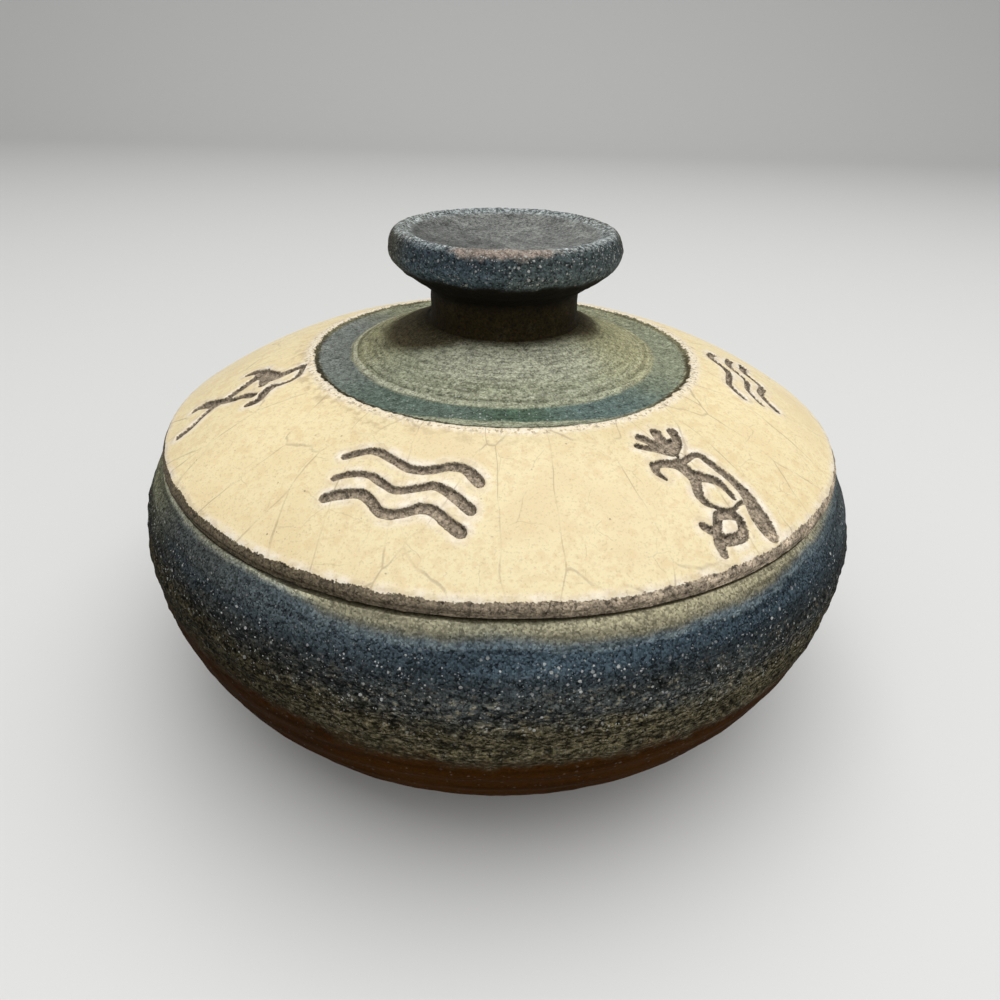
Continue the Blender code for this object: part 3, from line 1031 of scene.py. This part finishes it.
def knob_finish(colours):
    """The knob: a blue and grey lip with a flash of copper and painted light low on the lip, over a sooty
    neck with painted shade under the lip, and round an ashy dish.
    """
    finish = Finish("reduced_copper_slip", 0.75)
    rise = finish.height - KNOB_BASE + finish.noise(5 * MM, 3) * 2.5 * MM
    depth = KNOB_TOP - finish.height
    blue_grey = finish.mix(0.5, finish.scale(colours.teal, 0.55), colours.steel)
    grey = finish.mix(0.5, finish.scale(colours.charcoal, 1.3), blue_grey)
    lip = finish.mix(finish.toward(-28, 40) * 0.9, grey, finish.scale(colours.steel, 0.7))
    lip = finish.mix(finish.toward(-95, 50).most(finish.toward(105, 40)) * 0.7, lip, colours.umber)
    # Painted light low on the lip, where its underside turns away from the light
    lip = finish.scale(lip, 1 + 0.7 * rise.near(17 * MM, 2.5 * MM))
    neck = finish.mix(finish.noise(6 * MM, 4).step(0.0, 0.3) * 0.5, colours.soot, colours.umber)
    # Painted shade on the neck under the lip
    neck = finish.scale(neck, 1 - 0.8 * rise.near(11.5 * MM, 6 * MM))
    paint = finish.mix(rise.step(*LIP_FROM), neck, lip)
    dish = finish.radius.step(*DISH_FROM) * depth.step(9 * MM, 6 * MM)
    ash = finish.scale(colours.ash, 1.1 + finish.noise(5 * MM, 5) * 1.6 - finish.toward(-75, 80) * 0.35)
    ash = finish.mix(finish.toward(8, 60) * finish.radius.near(17 * MM, 8 * MM) * 0.4, ash, colours.grog)
    paint = finish.mix(dish, paint, ash)
    # Pale crystals round the crest of the dish, partly painted highlight
    rim = finish.radius.near(*DISH_RIM) * depth.step(2.4 * MM, 0.6 * MM)
    pale = finish.mix(0.4, colours.mist, colours.grog)
    paint = finish.mix(rim * (0.55 + finish.noise(0.8 * MM, 3) * 3), paint, pale)
    off_line = (finish.radius - FLASH_RADIUS) / FLASH_WIDTH
    flash = finish.toward(-1, 36) - off_line * off_line * 0.7 + finish.noise(2.5 * MM, 4) * 1.8
    flash = flash.step(0.05, 0.9) * depth.step(5.4 * MM, 3.0 * MM)
    shade = finish.toward(-14, 34) * finish.radius.near(25.2 * MM, 1.3 * MM) * depth.step(4.0 * MM, 3.0 * MM)
    paint = finish.mix(shade * 0.7, paint, colours.umber)
    paint = finish.mix(flash * 0.8, paint, colours.copper)
    on_lip = rise.step(*CRYSTALS_FROM)
    paint, sand = sandy(finish, paint, 0.4 * MM, 1.0 + 0.4 * on_lip * (1 - dish) - 0.5 * flash)
    crumbs = wandering(finish, finish.place, 0.5 * MM, 0.4 * MM)
    coarse = finish.grains(1.1 * MM, 0.55, 0.1, 0.42, crumbs)
    fine = finish.grains(0.6 * MM, 0.5, 0.14, 0.45, crumbs) * 0.8
    crystals = coarse.most(fine) * on_lip * (1 - 0.7 * dish) * (0.5 + 0.5 * finish.toward(32, 80))
    finish.set("Base Color", finish.mix(crystals * 0.9, paint, colours.grog))
    finish.bump(sand * (0.5 + 0.5 * on_lip) * (1 - 0.5 * dish) + crystals, KNOB_GRIT_DEPTH)
    return finish


def flange_finish(colours):
    """The flange: bare clay, smoked darker in patches."""
    finish = Finish("bare_flange_clay", 0.85)
    smoke = finish.noise(10 * MM, 4).step(-0.2, 0.25)
    paint, sand = sandy(finish, finish.mix(smoke, colours.bare_clay, colours.umber), 0.5 * MM, 0.9)
    finish.set("Base Color", paint)
    finish.bump(sand, GRIT_DEPTH)
    return finish


class JAR_OT_bowl(bpy.types.Operator):
    """Throws the bowl"""

    bl_idname = "jar.throw_bowl"
    bl_label = "Throw Bowl"

    def execute(self, context):
        marks = context.scene.jar_marks
        inner_belly = (BELLY_RADIUS - WALL, BELLY_HEIGHT)
        rim_inner = RIM_RADIUS - RIM_WIDTH
        reach = BELLY_RADIUS - FOOT_RADIUS
        floor_radius = FOOT_RADIUS - WALL
        ring_inner = FOOT_RADIUS - FOOT_RING_WIDTH
        outer_drop = BELLY_HEIGHT - FOOT_HEIGHT
        outline = Outline(
            0.25 * MM,
            (straight((0, FLOOR_HEIGHT), (floor_radius, FLOOR_HEIGHT)), 8 * MM),
            (oval((floor_radius, BELLY_HEIGHT), (reach, BELLY_HEIGHT - FLOOR_HEIGHT), -90, 0), 4.5 * MM),
            (drawn_in(inner_belly, (rim_inner, RIM_HEIGHT)), 2.5 * MM),
            (straight((rim_inner, RIM_HEIGHT), (RIM_RADIUS, RIM_HEIGHT)), 0.8 * MM),
            (drawn_out((RIM_RADIUS, RIM_HEIGHT), (BELLY_RADIUS, BELLY_HEIGHT)), 0.6 * MM),
            (oval((FOOT_RADIUS, BELLY_HEIGHT), (reach, outer_drop), 0, -35), 0.6 * MM),
            (oval((FOOT_RADIUS, BELLY_HEIGHT), (reach, outer_drop), -35, -90), 1.5 * MM),
            (straight((FOOT_RADIUS, FOOT_HEIGHT), (FOOT_RADIUS, 0)), 0.8 * MM),
            (straight((FOOT_RADIUS, 0), (ring_inner, 0)), 2.5 * MM),
            (straight((ring_inner, 0), (ring_inner, FOOT_HEIGHT)), 1 * MM),
            (straight((ring_inner, FOOT_HEIGHT), (0, FOOT_HEIGHT)), 9 * MM),
        )
        crest = outline.table[2][np.argmax(outline.table[1])]

        def relief(turn, radius, along, out, points):
            height = points[:, 2]
            outside = along > crest
            rings = ripples(along, BOWL_RING_GAP, turn + 2 * lumps(points, 40 * MM, marks.seed))
            coarse = layered(points, marks.seed + 1, (3.2 * MM, 1), (1.7 * MM, 0.7))
            shreds = layered(points * TEAR, marks.seed + 3, (1.5 * MM, 1), (0.9 * MM, 0.6))
            torn = soft_step(*SHREDS_FROM, height) * soft_step(*SHREDS_TO, height) * outside
            out_of_round = np.cos(2 * turn + 0.6) + 0.5 * np.cos(3 * turn)
            push = marks.throwing_rings * rings + marks.coarseness * coarse * (0.5 + 0.5 * torn)
            push = push + marks.tearing * shreds * torn + marks.wobble * out_of_round * soft_step(0, 0.4, out)
            settled = soft_step(0.25, 0.7, np.abs(out))
            return push * settled, {"inside": (~outside).astype(float)}

        slab = Slab("bowl_body", outline, BOWL_COLUMNS)
        slab.throw(relief, clay_finish(context.scene.jar_colours), "bowl", "bowl")
        return {"FINISHED"}


class JAR_OT_lid(bpy.types.Operator):
    """Throws, carves and glazes the lid"""

    bl_idname = "jar.throw_lid"
    bl_label = "Throw Lid"

    def execute(self, context):
        marks = context.scene.jar_marks
        crown_edge = (CROWN_EDGE[0], SEAT_HEIGHT + CROWN_EDGE[1])
        ridge = (RIDGE[0], SEAT_HEIGHT + RIDGE[1])
        neck = (NECK_RADIUS + NECK_TOE, CROWN_HEIGHT)
        top_edge = (LID_RADIUS - LID_BEVEL, SEAT_HEIGHT + LID_EDGE_HEIGHT)
        side_top = (LID_RADIUS, SEAT_HEIGHT + LID_EDGE_HEIGHT - LID_BEVEL)
        side_low = (LID_RADIUS, SEAT_HEIGHT + LID_BEVEL)
        seat_edge = (LID_RADIUS - LID_BEVEL, SEAT_HEIGHT)
        flange_inner = FLANGE_RADIUS - FLANGE_WIDTH
        dome = (RIDGE[1] - LID_WALL) / math.sqrt(1 - (RIDGE[0] / flange_inner) ** 2)
        outline = Outline(
            0.25 * MM,
            (straight((0, CROWN_HEIGHT), neck), 5 * MM),
            (straight(neck, ridge), 0.55 * MM),
            (bowed(ridge, crown_edge, -TROUGH_DEPTH), 0.55 * MM),
            (bowed(crown_edge, top_edge, CONE_SWELL), 1.1 * MM),
            (straight(top_edge, side_top), 0.3 * MM),
            (straight(side_top, side_low), 0.25 * MM),
            (straight(side_low, seat_edge), 0.3 * MM),
            (straight(seat_edge, (flange_inner, SEAT_HEIGHT)), 2.5 * MM),
            (oval((0, SEAT_HEIGHT), (flange_inner, dome), 0, 90), 5 * MM),
        )
        glaze_end = outline.edge - GLAZE_MARGIN

        def relief(turn, radius, along, out, points):
            top = along < outline.edge
            ragged = layered(points, marks.seed, (9 * MM, 0.3 * MM), (1.8 * MM, 0.35 * MM))
            hand = 0.16 * MM * lumps(points, 2 * MM, marks.seed + 2)
            carve = carving(turn, radius) + hand
            glaze = glaze_end + ragged - along
            crown = CROWN_EDGE[0] + ragged - radius
            ends = np.minimum(np.minimum(carve, glaze), -crown)
            glazed = soft_step(-0.3 * MM, 0.12 * MM, ends)
            roll = bell(ends, 0.75 * MM, 0.6 * MM)
            groove = soft_step(0.0, -0.5 * MM, carve)
            chip = CHIP_DEPTH * bell(turn * radius, CHIP_TURN * radius, CHIP_WIDTH)
            chip *= soft_step(outline.edge - CHIP_REACH, outline.edge, along)
            phase = turn + 1.5 * lumps(points, 30 * MM, marks.seed + 3)
            rings = ripples(along, CROWN_RING_GAPS[0], phase) + ripples(along, CROWN_RING_GAPS[1], -phase)
            coarse = layered(points, marks.seed + 4, (2.6 * MM, 1), (1.5 * MM, 0.7))
            ledges = sum(rise * bell(radius, at, LEDGE_WIDTH) for at, rise in CROWN_LEDGES)
            crest = (0.05 * MM * rings + ledges) * soft_step(-1 * MM, 1 * MM, crown)
            clay = (crest + 0.6 * marks.coarseness * coarse) * (1 - glazed)
            scored = SCORE_DEPTH * bell(along, outline.edge + SCORE_DROP, SCORE_WIDTH)
            uneven = layered(points, marks.seed + 6, (24 * MM, 0.22 * MM), (7 * MM, 0.05 * MM))
            coat = marks.glaze_thickness * glazed + marks.glaze_roll * roll
            push = coat - marks.carve_depth * groove + clay + uneven
            push = np.where(top, push, (push - scored + 0.18 * MM * coarse) * soft_step(0.5, 0.9, out))
            push = push - chip * soft_step(0.3, 0.9, out)
            carried = {"carve": carve, "crown": crown}
            carried["glaze"] = np.where(top, glaze, -MM)
            carried["under"] = (~top).astype(float)
            return push, carried

        slab = Slab("lid_body", outline, LID_COLUMNS)
        slab.cut_finer(lambda turn, radius: carving(turn, radius) < CARVE_MARGIN)
        slab.throw(relief, lid_finish(context.scene.jar_colours), "lid", "lid")
        return {"FINISHED"}


class JAR_OT_flange(bpy.types.Operator):
    """Throws the flange that keeps the lid on the bowl"""

    bl_idname = "jar.throw_flange"
    bl_label = "Throw Flange"

    def execute(self, context):
        marks = context.scene.jar_marks
        inner = FLANGE_RADIUS - FLANGE_WIDTH
        middle = FLANGE_RADIUS - FLANGE_WIDTH / 2
        top = SEAT_HEIGHT + LUTING
        outline = Outline(
            0.5 * MM,
            (straight((middle, top), (FLANGE_RADIUS, top)), 0.8 * MM),
            (straight((FLANGE_RADIUS, top), (FLANGE_RADIUS, FLANGE_BOTTOM)), 0.8 * MM),
            (straight((FLANGE_RADIUS, FLANGE_BOTTOM), (inner, FLANGE_BOTTOM)), 0.7 * MM),
            (straight((inner, FLANGE_BOTTOM), (inner, top)), 0.8 * MM),
            (straight((inner, top), (middle, top)), 0.8 * MM),
        )

        def relief(turn, radius, along, out, points):
            coarse = layered(points, marks.seed + 1, (3 * MM, 1), (1.6 * MM, 0.7))
            return 0.7 * marks.coarseness * coarse + 0.15 * MM * lumps(points, 18 * MM, marks.seed), {}

        slab = Slab("flange_ring", outline, FLANGE_COLUMNS)
        slab.throw(relief, flange_finish(context.scene.jar_colours), "lid", "lid_flange")
        return {"FINISHED"}


class JAR_OT_knob(bpy.types.Operator):
    """Throws the dished knob"""

    bl_idname = "jar.throw_knob"
    bl_label = "Throw Knob"

    def execute(self, context):
        marks = context.scene.jar_marks
        crest = LIP_RADIUS - LIP_ROLL
        base = NECK_RADIUS + NECK_TOE
        lip = KNOB_BASE + LIP_HEIGHT
        throat = KNOB_BASE + NECK_HEIGHT
        toe = CROWN_HEIGHT + NECK_TOE
        bottom = CROWN_HEIGHT - LUTING
        outline = Outline(
            0.4 * MM,
            (dished(crest, KNOB_TOP), 0.6 * MM),
            (oval((crest, lip), (LIP_ROLL, KNOB_TOP - lip), 90, 0), 0.4 * MM),
            (swept_under((LIP_RADIUS, lip), (NECK_RADIUS, throat)), 0.5 * MM),
            (straight((NECK_RADIUS, throat), (NECK_RADIUS, toe)), 0.6 * MM),
            (oval((base, toe), (NECK_TOE, NECK_TOE), 180, 270), 0.4 * MM),
            (straight((base, CROWN_HEIGHT), (base, bottom)), 0.5 * MM),
            (straight((base, bottom), (0, bottom)), 7 * MM),
        )

        def relief(turn, radius, along, out, points):
            coarse = layered(points, marks.seed + 1, (2.2 * MM, 1), (1.1 * MM, 0.8))
            rings = ripples(along, KNOB_RING_GAP, turn)
            uneven = 0.3 * MM * lumps(points, 14 * MM, marks.seed + 3)
            dish = soft_step(0, 4 * MM, radius)
            rough = 0.35 + 0.65 * soft_step(24 * MM, 27 * MM, radius)
            return (0.8 * marks.coarseness * coarse * rough + 0.06 * MM * rings + uneven) * dish, {}

        slab = Slab("knob_body", outline, KNOB_COLUMNS)
        slab.throw(relief, knob_finish(context.scene.jar_colours), "lid", "knob")
        return {"FINISHED"}


class JAR_OT_stage(bpy.types.Operator):
    """Sets the floor, the lamps and the camera"""

    bl_idname = "jar.set_stage"
    bl_label = "Set Stage"

    def execute(self, context):
        stage = context.scene.jar_stage
        context.scene.view_settings.view_transform = "Standard"
        self.lay_floor(context, stage.floor)
        self.hang_lamp(context, "key", stage.key_power, *KEY_LAMP)
        self.hang_lamp(context, "fill", stage.fill_power, *FILL_LAMP)
        world = bpy.data.worlds.new("studio")
        world.use_nodes = True
        sky = world.node_tree.nodes["Background"]
        sky.inputs["Color"].default_value = (1, 1, 1, 1)
        sky.inputs["Strength"].default_value = stage.surround
        context.scene.world = world
        camera = bpy.data.cameras.new("photo_camera")
        camera.sensor_width = SENSOR_WIDTH
        camera.lens = stage.lens
        viewer = bpy.data.objects.new("photo_camera", camera)
        turn = Matrix.Rotation(-stage.yaw, 4, "Z") @ Matrix.Rotation(math.pi / 2 - stage.pitch, 4, "X")
        tip = Matrix.Rotation(stage.roll, 4, "Z")
        viewer.matrix_world = Matrix.Translation(stage.camera_place) @ turn @ tip
        context.scene.collection.objects.link(viewer)
        context.scene.camera = viewer
        return {"FINISHED"}

    def lay_floor(self, context, tint):
        """A floor that curves up into a backdrop."""
        strip = [(-FLOOR_REACH, 0.0)]
        for i in range(BACKDROP_STEPS + 1):
            angle = math.pi / 2 * i / BACKDROP_STEPS
            forward = BACKDROP_PLACE + BACKDROP_CURVE * math.sin(angle)
            strip.append((forward, BACKDROP_CURVE * (1 - math.cos(angle))))
        strip.append((BACKDROP_PLACE + BACKDROP_CURVE, BACKDROP_HEIGHT))
        corners = [(x, y, z) for y, z in strip for x in (-FLOOR_REACH, FLOOR_REACH)]
        faces = [(2 * i, 2 * i + 1, 2 * i + 3, 2 * i + 2) for i in range(len(strip) - 1)]
        mesh = bpy.data.meshes.new("floor")
        mesh.from_pydata(corners, [], faces)
        mesh.shade_smooth()
        paper = Finish("pale_paper", 0.9)
        ray = paper.node("ShaderNodeLightPath", output="Is Camera Ray")
        seen = ray.most(ray.output("Is Glossy Ray")).most(ray.output("Is Transmission Ray"))
        paper.set("Base Color", paper.mix(seen, FLOOR_BOUNCE, tint))
        mesh.materials.append(paper.material)
        floor = bpy.data.objects.new("floor", mesh)
        context.scene.collection.objects.link(floor)

    def hang_lamp(self, context, name, power, size, place):
        """A square soft lamp that faces the jar."""
        lamp = bpy.data.lights.new(name, "AREA")
        lamp.energy = power
        lamp.size = size
        holder = bpy.data.objects.new(name, lamp)
        holder.location = place
        jar = Vector((0, 0, BELLY_HEIGHT))
        holder.rotation_euler = (jar - holder.location).to_track_quat("-Z", "Y").to_euler()
        context.scene.collection.objects.link(holder)


class JAR_PT_panel(bpy.types.Panel):
    """The jar's sizes, colours and pieces"""

    bl_label = "Raku Jar"
    bl_idname = "JAR_PT_panel"
    bl_space_type = "VIEW_3D"
    bl_region_type = "UI"
    bl_category = "Raku Jar"

    def draw(self, context):
        for group in (context.scene.jar_marks, context.scene.jar_colours, context.scene.jar_stage):
            column = self.layout.column()
            for name in group.__annotations__:
                column.prop(group, name)
        for operator in OPERATORS:
            self.layout.operator(operator.bl_idname)


GROUPS = {"jar_marks": JarMarks, "jar_colours": JarColours, "jar_stage": JarStage}
OPERATORS = (JAR_OT_bowl, JAR_OT_lid, JAR_OT_flange, JAR_OT_knob, JAR_OT_stage)


def register():
    for name, group in GROUPS.items():
        bpy.utils.register_class(group)
        setattr(bpy.types.Scene, name, bpy.props.PointerProperty(type=group))
    for panel_or_operator in (*OPERATORS, JAR_PT_panel):
        bpy.utils.register_class(panel_or_operator)


def unregister():
    for panel_or_operator in reversed((*OPERATORS, JAR_PT_panel)):
        bpy.utils.unregister_class(panel_or_operator)
    for name, group in GROUPS.items():
        delattr(bpy.types.Scene, name)
        bpy.utils.unregister_class(group)


def main():
    register()
    bpy.ops.jar.throw_bowl()
    bpy.ops.jar.throw_lid()
    bpy.ops.jar.throw_flange()
    bpy.ops.jar.throw_knob()
    bpy.ops.jar.set_stage()


if __name__ == "__main__":
    main()
